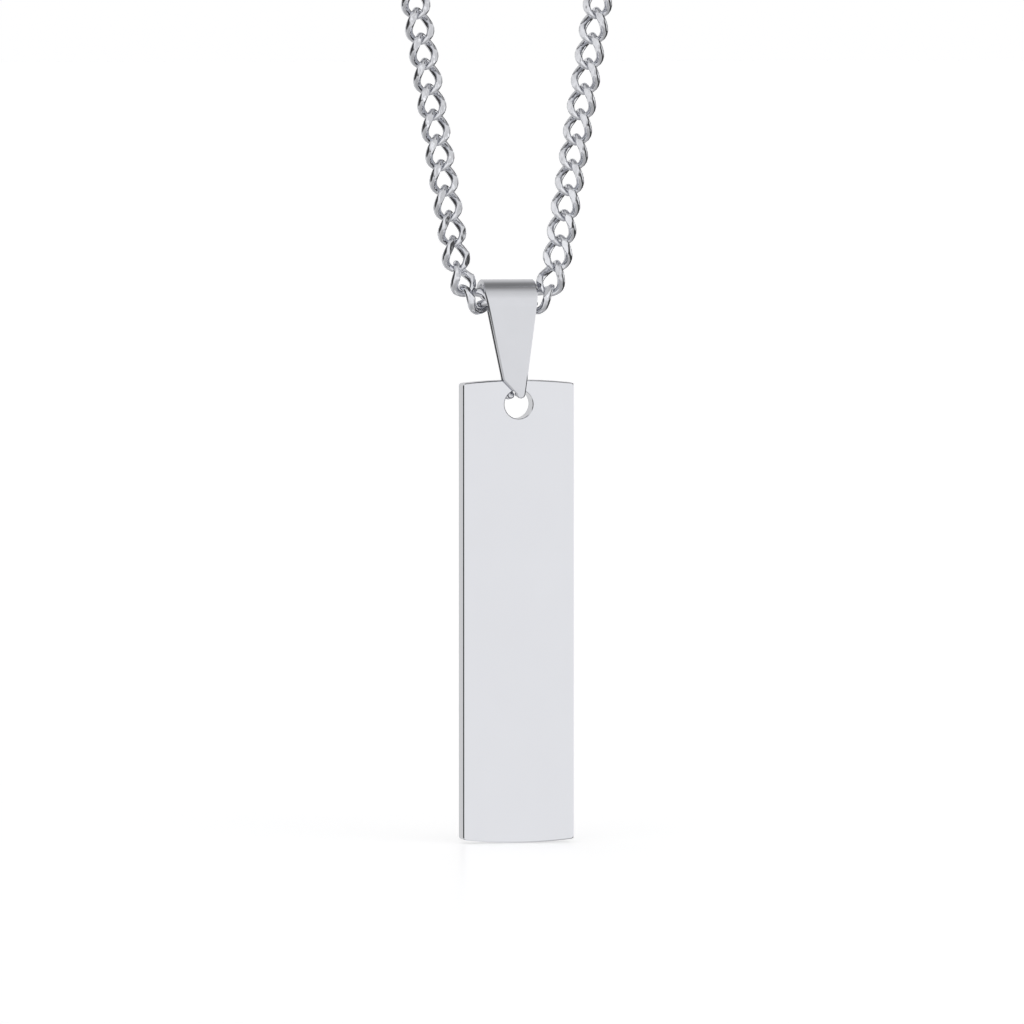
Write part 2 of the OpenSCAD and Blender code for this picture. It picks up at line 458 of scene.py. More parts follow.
@dataclass(frozen=True)
class Link:
    """A curb link of wire drawn thinner at its twisted tips, filed flat front and back, in mm.

    Attributes:
        width: its width over the wire.
        pitch: the distance from link to link.
        wire: the wire's diameter.
        gap: the least gap between two hooked wires.
        thickness: its thickness over the filed flats.
        peak: how far the tips are drawn out to a blunt point by the twisting.
        peak_power: how closely that drawing out keeps to the tips.
        tip_share: the wire's thickness at the tips, as a share of its diameter.
        side_share: the same at the sides.
        pear: how much narrower the upper half is than the lower, as a share.
        crowd: how closely the sections crowd towards the tips.
        crease: how crisp the flats' rims stay when the surface is subdivided.
        rings: sections round the link, before the surface is subdivided.
        sides: sides of a section, before the surface is subdivided.
        shrink: how much smaller subdividing makes the section.
    """

    width: float = 2.78
    pitch: float = 2.21
    wire: float = 0.66
    gap: float = 0.2
    thickness: float = 1.3
    peak: float = 0.3
    peak_power: int = 9
    tip_share: float = 0.84
    side_share: float = 1.24
    pear: float = 0.1
    crowd: float = 0.3
    crease: float = 0.85
    rings: int = 14
    sides: int = 5
    shrink: float = 0.82

    @property
    def half_length(self) -> float:
        """Half the length of the wire's centre line."""
        return (self.pitch + self.wire * self.tip_share + self.gap) / 2

    @property
    def half_width(self) -> float:
        """Half the width of the wire's centre line."""
        return (self.width - self.wire * self.side_share) / 2

    def turn(self, number: int) -> float:
        """How far round the link a section lies, in radians."""
        even = 2 * math.pi * number / self.rings
        return even - self.crowd * math.sin(2 * even) / 2

    def centre(self, turn: float, twist: Twist) -> Vector:
        """Finds a point of the wire's centre line.

        Args:
            turn: how far round the link, in radians.
            twist: the link's twist.

        Returns:
            The point.
        """
        drawn_out = self.peak * math.cos(turn) ** self.peak_power
        return Vector(
            (
                self.half_width * math.sin(turn) * (1 - self.pear * math.cos(turn)),
                twist.value * self.half_width / 2 * math.sin(2 * turn),
                (self.half_length - self.peak) * math.cos(turn) + drawn_out,
            )
        )

    def section(self, turn: float, twist: Twist) -> Matrix:
        """Finds the frame of the wire's section, scaled to the wire there.

        Args:
            turn: how far round the link, in radians.
            twist: the link's twist.

        Returns:
            The frame as a matrix, whose Z runs along the wire.
        """
        step = 0.02
        run = (self.centre(turn + step, twist) - self.centre(turn - step, twist)).normalized()
        side = run.cross(Vector((math.sin(turn), 0.0, math.cos(turn)))).normalized()
        frame = Matrix((side.cross(run), side, run)).transposed().to_4x4()
        share = self.tip_share + (self.side_share - self.tip_share) * math.sin(turn) ** 2
        return Matrix.Translation(self.centre(turn, twist)) @ frame @ Matrix.Diagonal((share, share, 1.0, 1.0))

    def mesh(self, twist: Twist) -> Mesh:
        """Builds the link: a section swept round it, then cut by the two filed planes.

        Args:
            twist: the link's twist.

        Returns:
            The mesh, in mm, with its flats' rims creased and marked sharp.
        """
        shape = bmesh.new()
        bmesh.ops.create_circle(shape, segments=self.sides, radius=self.wire / 2 / self.shrink)
        bmesh.ops.transform(shape, matrix=self.section(0, twist), verts=shape.verts)
        first = last = list(shape.edges)
        for k in range(1, self.rings):
            turn, before = (self.turn(n) for n in (k, k - 1))
            grown = bmesh.ops.extrude_edge_only(shape, edges=last)["geom"]
            move = self.section(turn, twist) @ self.section(before, twist).inverted()
            bmesh.ops.transform(shape, matrix=move, verts=corners(grown))
            last = [e for e in grown if isinstance(e, BMEdge) and len(e.link_faces) == 1]
        bmesh.ops.bridge_loops(shape, edges=first + last)
        bmesh.ops.recalc_face_normals(shape, faces=shape.faces)
        crease = shape.edges.layers.float.new("crease_edge")
        if twist is not Twist.PLAIN:
            for side in (1, -1):
                self.file_flat(shape, side, crease)
        return take_mesh(shape, f"link_{twist.name.lower()}")

    def file_flat(self, shape: BMesh, side: int, crease: BMLayerItem) -> None:
        """Cuts the link flat on one side.

        Args:
            shape: the link's mesh.
            side: 1 for its back, -1 for its front.
            crease: the layer that keeps the flats' rims from being rounded off.
        """
        everything = [*shape.verts, *shape.edges, *shape.faces]
        plane = {"plane_co": (0, side * self.thickness / 2, 0), "plane_no": (0, side, 0)}
        bmesh.ops.bisect_plane(shape, geom=everything, dist=CUT_REACH, clear_outer=True, **plane)
        rim = [edge for edge in shape.edges if edge.is_boundary]
        bmesh.ops.holes_fill(shape, edges=rim, sides=0)
        for edge in rim:
            edge[crease] = self.crease
            edge.smooth = False


@dataclass(frozen=True)
class Turn:
    """One link beside the bail.

    Attributes:
        climb_deg: how steeply it climbs.
        roll_deg: how far it is rolled about its own length.
        slack: how much less than the pitch it spans.
    """

    climb_deg: float
    roll_deg: float
    slack: float = 0.0


@dataclass(frozen=True)
class Station:
    """A joint on the right side, from the middle of the fold.

    Attributes:
        across: how far right it lies.
        up: how far up it lies.
        run: the length of chain to it.
    """

    across: float
    up: float
    run: float


@dataclass(frozen=True)
class Route:
    """The course of the loop, the same as the CAD chain's, in mm.

    Attributes:
        link: the chain's link.
        length: the closed loop's length.
        lean_deg: each strand's lean from the vertical.
        inside: how many links lie inside the bail.
        single_share: the share of each strand that the CAD builds link by link.
        apex: height of the clasp's middle over the origin.
        eye_reach: how far right the last link on the right hooks the clasp's eye.
        ring_reach: how far left the last link on the left hooks the jump ring.
        lifted: how many links at the top rise to meet the clasp.
        plain_roll_deg: roll of the plain link that joins the two strands.
        inside_roll_deg: roll of the other links inside the bail.
        turns: the links beside the bail, from inside it outwards.
        low_roll_deg: roll of the lowest link of a straight strand.
        strand_rolls_deg: roll of the left and right strand's links further up.
        easing: how many links it takes from the lowest link's roll to the strand's own.
    """

    link: Link = field(default_factory=Link)
    length: float = 500.0
    lean_deg: float = 9.2
    inside: int = 2
    single_share: float = 0.67
    apex: float = 2.8
    eye_reach: float = 6.97
    ring_reach: float = 5.92
    lifted: int = 4
    plain_roll_deg: float = 72.0
    inside_roll_deg: float = -63.0
    turns: tuple[Turn, ...] = (
        Turn(climb_deg=40.4, roll_deg=-54, slack=0.32),
        Turn(climb_deg=71, roll_deg=-40),
    )
    low_roll_deg: float = -24.0
    strand_rolls_deg: tuple[float, float] = (-12.0, -36.0)
    easing: int = 3

    @property
    def lean(self) -> float:
        """Each strand's lean, in radians."""
        return math.radians(self.lean_deg)

    def beside(self, count: int) -> Station:
        """Finds the upper joint of the links beside the bail.

        Args:
            count: how many links outside the bail lie below it.

        Returns:
            The joint.
        """
        across = run = self.inside * self.link.pitch / 2
        up = 0.0
        for turn in self.turns[:count]:
            span = self.link.pitch - turn.slack
            climb = math.radians(turn.climb_deg)
            across += span * math.cos(climb)
            up += span * math.sin(climb)
            run += span
        return Station(across, up, run)

    @property
    def strand_start(self) -> Station:
        """Where the straight strand starts."""
        return self.beside(len(self.turns))

    @property
    def round_radius(self) -> float:
        """Radius of the stretch round the neck."""
        start = self.strand_start
        left = self.length / 2 - start.run + start.across / math.sin(self.lean)
        return left / (1 / math.tan(self.lean) + math.pi / 2 + self.lean)

    @property
    def straight(self) -> float:
        """Length of the straight strand."""
        return self.round_radius / math.tan(self.lean) - self.strand_start.across / math.sin(self.lean)

    @property
    def fold_z(self) -> float:
        """Height of the middle of the bail's fold, under the origin."""
        low = self.apex - self.round_radius * (1 + math.sin(self.lean)) - self.straight * math.cos(self.lean)
        return low - self.strand_start.up

    def along(self, distance: float) -> Vector:
        """Finds a point of the right strand.

        Args:
            distance: the length of chain from the strand's start.

        Returns:
            The point in the loop's plane.
        """
        if distance < self.straight:
            start = self.strand_start
            across = start.across + distance * math.sin(self.lean)
            return Vector((across, 0.0, self.fold_z + start.up + distance * math.cos(self.lean)))
        turn = (distance - self.straight) / self.round_radius - self.lean
        middle = self.apex - self.round_radius
        return Vector((self.round_radius * math.cos(turn), 0.0, middle + self.round_radius * math.sin(turn)))

    @property
    def single_links(self) -> int:
        """How many links of a strand the CAD builds one by one."""
        return math.floor(self.single_share * (self.length / 2 - self.strand_start.run) / self.link.pitch)

    def front_joints(self) -> list[Vector]:
        """Finds the joints on the right side, and those inside the bail.

        Returns:
            The joints, from the left end of the links inside the bail to the last single link.
        """
        inside = [(k - self.inside / 2) * self.link.pitch for k in range(self.inside + 1)]
        joints = [Vector((across, 0.0, self.fold_z)) for across in inside]
        beside = [self.beside(k) for k in range(1, len(self.turns))]
        joints += [Vector((joint.across, 0.0, self.fold_z + joint.up)) for joint in beside]
        return joints + [self.along(k * self.link.pitch) for k in range(self.single_links + 1)]

    def neck_joints(self, reach: float) -> list[Vector]:
        """Finds the joints round one side of the neck.

        Args:
            reach: how far from the middle the last link hooks in.

        Returns:
            The joints on the right side, from the last single link to the clasp's end.
        """
        start = self.single_links * self.link.pitch
        stop = self.straight + self.round_radius * (math.acos(reach / self.round_radius) + self.lean)
        count = round((stop - start) / self.link.pitch)
        joints = [self.along(start + (stop - start) * k / count) for k in range(count + 1)]
        lift = self.apex - joints[-1].z
        for k, joint in enumerate(joints[-self.lifted :], start=1):
            joint.z += lift * k / self.lifted
        return joints

    def roll(self, number: int, right: bool) -> float:
        """Finds how far a link is rolled about its own length.

        Args:
            number: the place of its lower joint among the front joints.
            right: whether it is in the right strand.

        Returns:
            The roll in degrees.
        """
        rolls = [self.inside_roll_deg, *(turn.roll_deg for turn in self.turns), self.low_roll_deg]
        place = max(0, number - self.inside + 1)
        last = len(rolls) - 1
        share = min(1.0, max(0.0, (place - last) / self.easing))
        low = rolls[min(place, last)]
        return low + (self.strand_rolls_deg[right] - low) * share

    def front_strand(self, right: bool) -> Iterator[Placing]:
        """Places the links of one front strand, the left one with the plain link that joins the two.

        Args:
            right: whether it is the right strand.

        Yields:
            Each link's place.
        """
        joints = self.front_joints()
        middle = math.ceil(self.inside / 2)
        if not right:
            yield Placing(joints[middle - 1], joints[middle], Twist.PLAIN, self.plain_roll_deg)
        for k in range(middle if right else self.inside - middle + 1, len(joints) - 1):
            yield self.sided(joints[k], joints[k + 1], self.roll(k, right), right)

    def neck_side(self, right: bool) -> Iterator[Placing]:
        """Places the links round one side of the neck.

        Args:
            right: whether it is the right side.

        Yields:
            Each link's place.
        """
        joints = self.neck_joints(self.eye_reach if right else self.ring_reach)
        for low, high in zip(joints, joints[1:]):
            yield self.sided(low, high, self.strand_rolls_deg[right], right)

    @staticmethod
    def sided(low: Vector, high: Vector, roll_deg: float, right: bool) -> Placing:
        """Places a link on the right side, or its mirror image on the left.

        Args:
            low: its lower joint on the right side.
            high: its upper joint there.
            roll_deg: its roll there.
            right: whether it is on the right side.

        Returns:
            The link's place.
        """
        if right:
            return Placing(low, high, Twist.RIGHT, roll_deg)
        flip = Vector((-1, 1, 1))
        return Placing(low * flip, high * flip, Twist.LEFT, -roll_deg)


@dataclass
class CurbChain:
    """The whole loop of chain, link by link.

    Attributes:
        route: its course.
        smooth: levels of subdivision, the same in the viewport and the render.
    """

    route: Route = field(default_factory=Route)
    smooth: int = 1

    def build(self) -> list[Object]:
        """Builds the four stretches of the chain.

        Returns:
            The finished objects.
        """
        steel = CHAIN_STEEL.material()
        links = {twist: self.route.link.mesh(twist) for twist in Twist}
        made = []
        for name, node, places in (
            ("strand_links_left", "chain_left", self.route.front_strand(False)),
            ("strand_links_right", "chain_right", self.route.front_strand(True)),
            ("neck_links_left", "chain_back", self.route.neck_side(False)),
            ("neck_links_right", "chain_back", self.route.neck_side(True)),
        ):
            made.append(self.stretch(Piece(name, "chain", "chain_steel", (node,)), places, links, steel))
        for mesh in links.values():
            bpy.data.meshes.remove(mesh)
        return made

    def stretch(
        self, piece: Piece, places: Iterator[Placing], links: dict[Twist, Mesh], steel: Material
    ) -> Object:
        """Joins the links of one stretch in one piece.

        Args:
            piece: the stretch's name, body, slot and replaced nodes.
            places: where its links lie.
            links: the mesh of each kind of link.
            steel: the material.

        Returns:
            The finished object.
        """
        shape = bmesh.new()
        for place in places:
            before = len(shape.verts)
            shape.from_mesh(links[place.twist])
            shape.verts.ensure_lookup_table()
            bmesh.ops.transform(shape, matrix=place.matrix(), verts=shape.verts[before:])
        made = piece.finish(shape, steel)
        smooth = made.modifiers.new("round wire", "SUBSURF")
        smooth.levels = smooth.render_levels = self.smooth
        return made


@dataclass(frozen=True)
class LegOutline:
    """Outline of one leg of the bail, seen from the front, from the middle of the fold, in mm.

    Attributes:
        level_w: its width level with the middle of the fold.
        shoulder_w: its width at the shoulders.
        peg_x: how far right of the middle of its shoulders its peg lies.
        peg_z: how high its peg lies.
        peg_d: its peg's diameter.
    """

    level_w: float
    shoulder_w: float
    peg_x: float
    peg_z: float
    peg_d: float


@dataclass
class Bail:
    """A strip folded over the chain, whose two narrow feet carry a peg each, in mm.

    Attributes:
        fold: place of the middle of the fold.
        width: the strip's width at the fold.
        gauge: its thickness.
        radius: outer radius of the fold.
        leg: from the middle of the fold to the shoulders.
        slant_deg: how far each leg leans in.
        crown: height over the middle of the fold from which the strip narrows.
        neck: how far under the middle of the fold a row of edges ends the fold's shading.
        foot_x: how far right of the middle of the fold both legs' shoulders lie.
        margin: metal round each peg.
        peg_inner: how near the pegs come to the middle of the bar.
        dome: how far a peg's rounded end reaches in, as a share of its diameter.
        round_over: how far the strip's worn edges reach in.
        tip_turns_deg: where the rows of a leg's rounded tip lie, round its peg.
        front: outline of the front leg.
        back: outline of the back leg.
    """

    fold: Vector
    width: float = 4.7
    gauge: float = 0.4
    radius: float = 2.18
    leg: float = 6.5
    slant_deg: float = 4.62
    crown: float = 1.09
    neck: float = 0.6
    foot_x: float = 0.44
    margin: float = 0.1
    peg_inner: float = 0.12
    dome: float = 0.3
    round_over: float = 0.1
    tip_turns_deg: tuple[float, ...] = (0, 20, 40, 55, 68, 78, 86)
    front: LegOutline = LegOutline(level_w=4.327, shoulder_w=2.1, peg_x=0.5, peg_z=-7.694, peg_d=0.6)
    back: LegOutline = LegOutline(level_w=3.0, shoulder_w=1.2, peg_x=-0.02, peg_z=-7.838, peg_d=0.66)

    @property
    def slant(self) -> float:
        """How far each leg leans in, in radians."""
        return math.radians(self.slant_deg)

    def build(self) -> Object:
        """Builds the bail.

        Returns:
            The finished object.
        """
        shape = bmesh.new()
        legs = ((self.front, -1), (self.back, 1))
        for outline, side in legs:
            self.add_half(shape, outline, side)
        bmesh.ops.remove_doubles(shape, verts=shape.verts, dist=WELD_REACH)
        bmesh.ops.recalc_face_normals(shape, faces=shape.faces)
        highest = max(shape.faces, key=lambda face: face.calc_center_median().z)
        if highest.normal.z < 0:
            bmesh.ops.reverse_faces(shape, faces=shape.faces)
        bmesh.ops.solidify(shape, geom=shape.faces, thickness=self.gauge)
        bmesh.ops.recalc_face_normals(shape, faces=shape.faces)
        wear(shape, rims(shape), self.round_over)
        for outline, side in legs:
            self.add_peg(shape, outline, side)
        bmesh.ops.translate(shape, vec=self.fold, verts=shape.verts)
        made = Piece("bail_strip", "bail", "bail_steel", ("bail",)).finish(shape, BAIL_STEEL.material())
        crisp(made, sharp_deg=40)
        return made

    def add_half(self, shape: BMesh, outline: LegOutline, side: int) -> None:
        """Adds half the fold and one leg as a sheet, with the outline's width at each height.

        Args:
            shape: the mesh to add to.
            outline: the leg's outline.
            side: 1 for the back, -1 for the front.
        """
        half = bmesh.new()
        y, z = self.radius * math.cos(self.slant), -self.radius * math.sin(self.slant)
        ends = [half.verts.new((x, y, z)) for x in (-self.width / 2, self.width / 2)]
        edge = half.edges.new(ends)
        bmesh.ops.spin(half, geom=[*ends, edge], axis=(1, 0, 0), angle=math.pi / 2 + self.slant, steps=32)
        rows = self.rows(outline)
        for height, _, _ in rows:
            if height < z:
                grown = bmesh.ops.extrude_edge_only(half, edges=[edge])["geom"]
                step = height - ends[0].co.z
                ends = corners(grown)
                edge = next(e for e in grown if isinstance(e, BMEdge) and all(v in ends for v in e.verts))
                bmesh.ops.translate(half, vec=(0, step * math.tan(self.slant), step), verts=ends)
        for vert in half.verts:
            left, right = self.span(rows, vert.co.z)
            vert.co.x = left if vert.co.x < 0 else right
        bmesh.ops.scale(half, vec=(1, side, 1), verts=half.verts)
        sheet = take_mesh(half, "half_bail")
        shape.from_mesh(sheet)
        bpy.data.meshes.remove(sheet)

    def rows(self, outline: LegOutline) -> list[tuple[float, float, float]]:
        """Works out the outline as rows from the crown to the rounded tip.

        Args:
            outline: the leg's outline.

        Returns:
            For each row its height, and where its left and right edges lie.
        """
        tip = outline.peg_d / 2 + self.margin
        taper = (outline.level_w - outline.shoulder_w) / self.leg
        straight = [(self.crown, self.width), (0.0, outline.level_w)]
        straight += [(-drop, outline.level_w - taper * drop) for drop in (self.neck, self.leg)]
        lean = self.foot_x / (self.leg + self.crown)
        rows = [(z, lean * (self.crown - z) - w / 2, lean * (self.crown - z) + w / 2) for z, w in straight]
        peg_x = self.foot_x + outline.peg_x
        for turn in map(math.radians, self.tip_turns_deg):
            reach = tip * math.cos(turn)
            rows.append((outline.peg_z - tip * math.sin(turn), peg_x - reach, peg_x + reach))
        return rows

    @staticmethod
    def span(rows: list[tuple[float, float, float]], height: float) -> tuple[float, float]:
        """Finds where a leg's edges lie at a height.

        Args:
            rows: the leg's rows.
            height: the height over the middle of the fold.

        Returns:
            Where its left and right edges lie.
        """
        for (top, *upper), (low, *lower) in zip(rows, rows[1:]):
            if height > low:
                share = min(1.0, (height - low) / (top - low))
                return tuple(b + (a - b) * share for a, b in zip(upper, lower))
        return tuple(rows[-1][1:])

    def add_peg(self, shape: BMesh, outline: LegOutline, side: int) -> None:
        """Adds the domed peg that one leg carries.

        Args:
            shape: the mesh to add to.
            outline: the leg's outline.
            side: 1 for the back, -1 for the front.
        """
        outer_y = (self.radius - self.gauge / 2) * math.cos(self.slant) + outline.peg_z * math.tan(self.slant)
        length = outer_y - self.peg_inner
        radii = {"radius1": outline.peg_d / 2, "radius2": outline.peg_d / 2}
        made = bmesh.ops.create_cone(shape, cap_ends=True, segments=24, depth=length, **radii)["verts"]
        edges = {edge for vert in made for edge in vert.link_edges}
        inner = [edge for edge in edges if all(vert.co.z < 0 for vert in edge.verts)]
        rounded = wear(shape, inner, outline.peg_d * self.dome, steps=4)
        peg = list({vert for vert in made if vert.is_valid} | set(rounded))
        turned = Matrix.Rotation(-side * math.pi / 2, 4, "X")
        middle = Vector((self.foot_x + outline.peg_x, side * (self.peg_inner + length / 2), outline.peg_z))
        bmesh.ops.transform(shape, matrix=Matrix.Translation(middle) @ turned, verts=peg)


@dataclass
class Bar:
    """The flat bar with gently arched ends and one hole, in mm.

    Attributes:
        hole: place of the hole's middle.
        height: over the crowns of both ends.
        width: across.
        thickness: front to back.
        arch: rise of each end at its middle.
        hole_d: the hole's diameter.
        hole_drop: from the upper crown to the hole's middle.
        corner: radius of the outline's worn corners.
        bevel: how far its worn edges reach in.
        hole_bevel: how far the hole's edges do.
    """

    hole: Vector
    height: float = 40.0
    width: float = 9.8
    thickness: float = 1.9
    arch: float = 0.28
    hole_d: float = 2.5
    hole_drop: float = 2.1
    corner: float = 0.26
    bevel: float = 0.09
    hole_bevel: float = 0.06

    @property
    def foot_z(self) -> float:
        """Height of the lower crown."""
        return self.hole.z + self.hole_drop - self.height

    def build(self) -> Object:
        """Builds the bar.

        Returns:
            The finished object.
        """
        shape = bmesh.new()
        ends = [self.add_end(shape, side) for side in (1, -1)]
        for upper, lower in zip(*ends):
            shape.edges.new((upper, lower))
        bmesh.ops.create_circle(shape, segments=64, radius=self.hole_d / 2, matrix=UPRIGHT)
        bmesh.ops.triangle_fill(shape, use_beauty=True, edges=shape.edges, normal=(0, -1, 0))
        bmesh.ops.dissolve_limit(shape, angle_limit=0.01, verts=[], edges=shape.edges)
        thicken(shape, self.thickness)
        hole_reach = self.hole_d / 2 + self.bevel
        for reach, in_hole in ((self.hole_bevel, True), (self.bevel, False)):
            wear(shape, [e for e in rims(shape) if (e.verts[0].co.xz.length < hole_reach) == in_hole], reach)
        bmesh.ops.translate(shape, vec=self.hole, verts=shape.verts)
        made = Piece("bar_plate", "bar", "bar_steel", ("bar",)).finish(shape, BAR_STEEL.material())
        crisp(made, sharp_deg=40)
        return made

    def add_end(self, shape: BMesh, side: int) -> tuple[BMVert, BMVert]:
        """Adds one arched end of the outline with its two round corners.

        Args:
            shape: the mesh to add to, with its origin at the hole.
            side: 1 for the upper end, -1 for the lower.

        Returns:
            The left and right corner of the end.
        """
        end_r = ((self.width / 2) ** 2 + self.arch**2) / (2 * self.arch)
        reach, inset = end_r - self.corner, self.width / 2 - self.corner
        swing = math.asin(inset / reach)
        middle = side * (self.height / 2 - end_r) + self.hole_drop - self.height / 2
        corner_z = middle + side * reach * math.cos(swing)
        first = last = shape.verts.new((-self.width / 2, 0.0, corner_z))
        for x, z, angle, steps in (
            (-inset, corner_z, math.pi / 2 - swing, 5),
            (0.0, middle, 2 * swing, 16),
            (inset, corner_z, math.pi / 2 - swing, 5),
        ):
            turn = {"cent": (x, 0, z), "axis": (0, 1, 0), "angle": side * angle, "steps": steps}
            last = corners(bmesh.ops.spin(shape, geom=[last], **turn)["geom_last"])[0]
        return first, last


@dataclass
class Clasp:
    """The hidden clasp and its jump ring, in mm.

    Attributes:
        apex: height of the clasp's middle.
        length: of its body.
        height: of its body.
        thickness: of its body.
        rim: width of the metal round its opening.
        taper: how much it narrows to the right.
        round_over: how far its rounded edges reach in.
        eye_d: mean diameter of its eye.
        eye_sunk: how deep the eye's wire lies in the body.
        ring_d: mean diameter of the jump ring.
        wire: diameter of both wires.
        lean_deg: how far both rings lean out of the level.
    """

    apex: float = 2.8
    length: float = 9.6
    height: float = 5.6
    thickness: float = 1.6
    rim: float = 1.1
    taper: float = 0.18
    round_over: float = 0.35
    eye_d: float = 2.7
    eye_sunk: float = 0.1
    ring_d: float = 4.2
    wire: float = 0.8
    lean_deg: float = 35.0

    def build(self) -> list[Object]:
        """Builds the clasp's body with its eye, and the jump ring.

        Returns:
            The two finished objects.
        """
        body = bmesh.new()
        for margin in (0.0, self.rim):
            self.add_pear(body, margin)
        bmesh.ops.bridge_loops(body, edges=body.edges)
        thicken(body, self.thickness)
        bmesh.ops.translate(body, vec=(0, 0, self.apex), verts=body.verts)
        wear(body, rims(body), self.round_over, steps=4)
        self.add_wire_ring(body, self.length / 2 + self.eye_d / 2 - self.eye_sunk, self.eye_d)
        clasp = Piece("clasp_body", "chain", "clasp_steel", ("clasp",)).finish(body, CLASP_STEEL.material())
        crisp(clasp, sharp_deg=50)
        ring = bmesh.new()
        self.add_wire_ring(ring, -(self.length - self.rim) / 2, self.ring_d)
        jump_ring = Piece("jump_ring_wire", "chain", "chain_steel", ("jump_ring",))
        return [clasp, jump_ring.finish(ring, CHAIN_STEEL.material())]

    def add_pear(self, shape: BMesh, margin: float) -> None:
        """Adds a rounded outline that is wider at the left.

        Args:
            shape: the mesh to add to.
            margin: how far inside the clasp's outline it lies.
        """
        made = bmesh.ops.create_circle(shape, segments=48, radius=1.0, matrix=UPRIGHT)["verts"]
        for vert in made:
            vert.co.z *= (self.height / 2 - margin) * (1 - self.taper * vert.co.x)
            vert.co.x *= self.length / 2 - margin

    def add_wire_ring(self, shape: BMesh, x: float, diameter: float) -> None:
        """Adds a ring of wire that leans, so that it hooks both the clasp and a link.

        Args:
            shape: the mesh to add to.
            x: how far right its middle lies.
            diameter: its mean diameter.
        """
        place = Matrix.Translation((diameter / 2, 0, 0)) @ UPRIGHT
        section = bmesh.ops.create_circle(shape, segments=14, radius=self.wire / 2, matrix=place)["verts"]
        edges = list({edge for vert in section for edge in vert.link_edges})
        before = set(shape.verts) - set(section)
        bmesh.ops.spin(
            shape, geom=[*section, *edges], axis=(0, 0, 1), angle=2 * math.pi, steps=40, use_merge=True
        )
        ring = [vert for vert in shape.verts if vert not in before]
        lean = Matrix.Translation((x, 0, self.apex)) @ Matrix.Rotation(math.radians(self.lean_deg), 4, "X")
        bmesh.ops.transform(shape, matrix=lean, verts=ring)
        bmesh.ops.recalc_face_normals(shape, faces=list({face for vert in ring for face in vert.link_faces}))


@dataclass(frozen=True)
class TentPatch:
    """A part of the light tent that is dimmer or brighter than the rest.

    Attributes:
        aim: where it lies, as seen from the object.
        stops: how nearly a direction runs to it, from 0 to 1, with the brightness there.
    """

    aim: tuple[float, float, float]
    stops: tuple[tuple[float, float], ...]

    def brightness(self, tree: NodeTree, way: NodeSocket) -> NodeSocket:
        """Adds the brightness round the patch.

        Args:
            tree: the world's node tree.
            way: the direction of the light.

        Returns:
            The brightness, 1 away from the patch.
        """
        aim = Vector(self.aim).normalized()
        facing = add_node(tree, "ShaderNodeVectorMath", {0: way, 1: aim}, operation="DOT_PRODUCT")
        made = add_node(tree, "ShaderNodeValToRGB", {"Fac": facing.outputs["Value"]})
        for k, (place, grey) in enumerate(self.stops):
            stop = made.color_ramp.elements[k] if k < 2 else made.color_ramp.elements.new(place)
            stop.position = place
            stop.color = (grey, grey, grey, 1.0)
        return made.outputs["Color"]


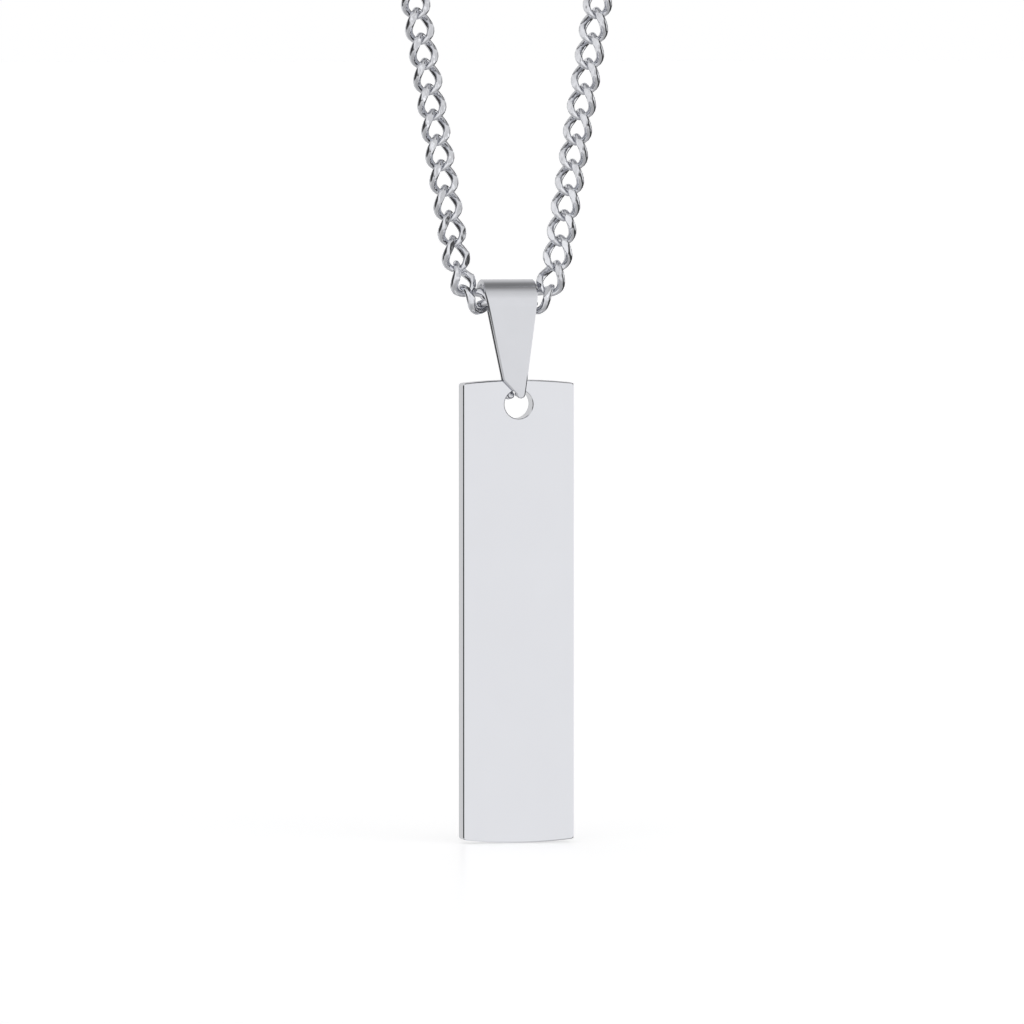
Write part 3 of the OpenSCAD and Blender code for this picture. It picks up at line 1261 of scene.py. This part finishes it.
@dataclass
class Studio:
    """The floor, the light and the camera.

    Attributes:
        hole: place of the bar's hole in mm, from which the camera is aimed.
        floor_z: height of the floor in mm.
        azimuth_deg: how far right of the front the camera stands; to its left if negative.
        elevation_deg: how far above the horizon it stands.
        frame_mm: the width that it sees at the hole.
        hole_right_mm: how far right of the picture's middle the hole lies.
        hole_up_mm: how far above the picture's middle the hole lies.
        distance_mm: from the camera to the hole.
        sensor_mm: width of its sensor.
        lamp_strength: strength of the lamp over the floor.
        lamp_deg: how wide that lamp looks from the floor.
        patches: the dim and bright parts of the light tent.
    """

    hole: Vector
    floor_z: float
    azimuth_deg: float = -12.3
    elevation_deg: float = 2.5
    frame_mm: float = 88.43
    hole_right_mm: float = 0.38
    hole_up_mm: float = 9.33
    distance_mm: float = 1100.0
    sensor_mm: float = 36.0
    lamp_strength: float = 0.42
    lamp_deg: float = 80.0
    patches: tuple[TentPatch, ...] = (
        # Overhead
        TentPatch(
            (0.0, 0.17, 0.985),
            ((0.3, 1.0), (0.55, 0.88), (0.76, 0.76), (0.876, 0.55), (0.944, 0.3), (1.0, 0.22)),
        ),
        # Round the lens
        TentPatch((-0.21, -0.975, 0.05), ((0.965, 1.0), (0.99, 0.8), (1.0, 0.75))),
        # Left
        TentPatch(
            (-0.985, 0.17, 0.0),
            ((0.5, 1.0), (0.7, 0.94), (0.8, 0.85), (0.86, 0.15), (0.92, 0.05), (1.0, 0.05)),
        ),
        # In front, far to the right
        TentPatch((0.643, -0.766, 0.0), ((0.93, 1.0), (0.98, 0.8), (1.0, 0.76))),
        # Right
        TentPatch(
            (0.985, 0.17, 0.0),
            ((0.45, 1.0), (0.63, 0.9), (0.71, 0.1), (0.925, 0.04), (0.958, 1.0), (1.0, 1.05)),
        ),
        # In front, to the left
        TentPatch((-0.707, -0.707, 0.0), ((0.96, 1.0), (0.99, 1.08), (1.0, 1.1))),
        # In front, to the right
        TentPatch((0.423, -0.906, 0.0), ((0.985, 1.0), (0.993, 1.5), (1.0, 1.6))),
        # Below
        TentPatch((0.0, 0.0, -1.0), ((0.4, 1.0), (0.75, 0.55), (0.95, 0.45), (0.985, 0.9), (1.0, 0.9))),
        # Behind
        TentPatch((0.0, 1.0, 0.0), ((0.4, 1.0), (0.9, 0.86), (0.98, 0.7))),
    )

    def build(self) -> None:
        """Builds the floor, the light and the camera."""
        self.add_floor()
        self.add_tent()
        self.add_lamp()
        self.add_camera()
        bpy.context.scene.view_settings.view_transform = "Standard"

    def add_floor(self) -> None:
        """Adds a plain pale floor just under the bar, which the metal doesn't mirror."""
        shape = bmesh.new()
        bmesh.ops.create_grid(shape, x_segments=1, y_segments=1, size=8.0)
        bmesh.ops.translate(shape, vec=(0, 0, self.floor_z * MM), verts=shape.verts)
        mesh = take_mesh(shape, "floor")
        mesh.materials.append(SatinAcrylic().material())
        floor = add_object("floor", mesh)
        floor.visible_glossy = False

    def add_tent(self) -> None:
        """Adds the light tent, of white cloth with dim and bright patches, which the camera sees as white."""
        world = bpy.data.worlds.new("light_tent")
        bpy.context.scene.world = world
        tree = empty_tree(world)
        way = add_node(tree, "ShaderNodeTexCoord").outputs["Generated"]
        light: NodeSocket | float = 1.0
        for patch in self.patches:
            cloth = patch.brightness(tree, way)
            both = add_node(tree, "ShaderNodeMath", {0: light, 1: cloth}, operation="MULTIPLY")
            light = both.outputs["Value"]
        seen = add_node(tree, "ShaderNodeLightPath").outputs["Is Camera Ray"]
        level = add_node(tree, "ShaderNodeMapRange", {"Value": seen, "To Min": light, "To Max": 1.0})
        cover = {"Color": (1.0, 1.0, 1.005, 1.0), "Strength": level.outputs["Result"]}
        tent = add_node(tree, "ShaderNodeBackground", cover)
        add_node(tree, "ShaderNodeOutputWorld", {"Surface": tent.outputs["Background"]})

    def add_lamp(self) -> None:
        """Adds the soft lamp over the floor, which the metal doesn't mirror."""
        lamp = bpy.data.lights.new("overhead_soft", "SUN")
        lamp.energy = self.lamp_strength
        lamp.angle = math.radians(self.lamp_deg)
        add_object(lamp.name, lamp).visible_glossy = False

    def add_camera(self) -> None:
        """Adds the long-lens camera at the photograph's angle."""
        lens = bpy.data.cameras.new("camera")
        lens.sensor_width = self.sensor_mm
        lens.lens = self.sensor_mm * self.distance_mm / self.frame_mm
        lens.clip_start, lens.clip_end = 0.05, 50.0
        made = add_object("camera", lens)
        turn, rise = math.radians(self.azimuth_deg), math.radians(self.elevation_deg)
        back = Vector((math.sin(turn) * math.cos(rise), -math.cos(turn) * math.cos(rise), math.sin(rise)))
        facing = (-back).to_track_quat("-Z", "Y")
        across, up = facing @ Vector((1, 0, 0)), facing @ Vector((0, 1, 0))
        target = self.hole - across * self.hole_right_mm - up * self.hole_up_mm
        made.rotation_mode = "QUATERNION"
        made.rotation_quaternion = facing
        made.location = (target + back * self.distance_mm) * MM
        bpy.context.scene.camera = made


def main() -> None:
    """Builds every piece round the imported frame."""
    logging.basicConfig(level=logging.INFO, format="%(name)s: %(message)s")
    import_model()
    chain = CurbChain()
    fold = Vector((0.0, 0.0, chain.route.fold_z))
    hole = fold + FOLD_TO_HOLE
    bar = Bar(hole)
    Studio(hole, floor_z=bar.foot_z - FLOOR_GAP).build()
    chain.build()
    Bail(fold).build()
    bar.build()
    Clasp().build()


if __name__ == "__main__":
    main()
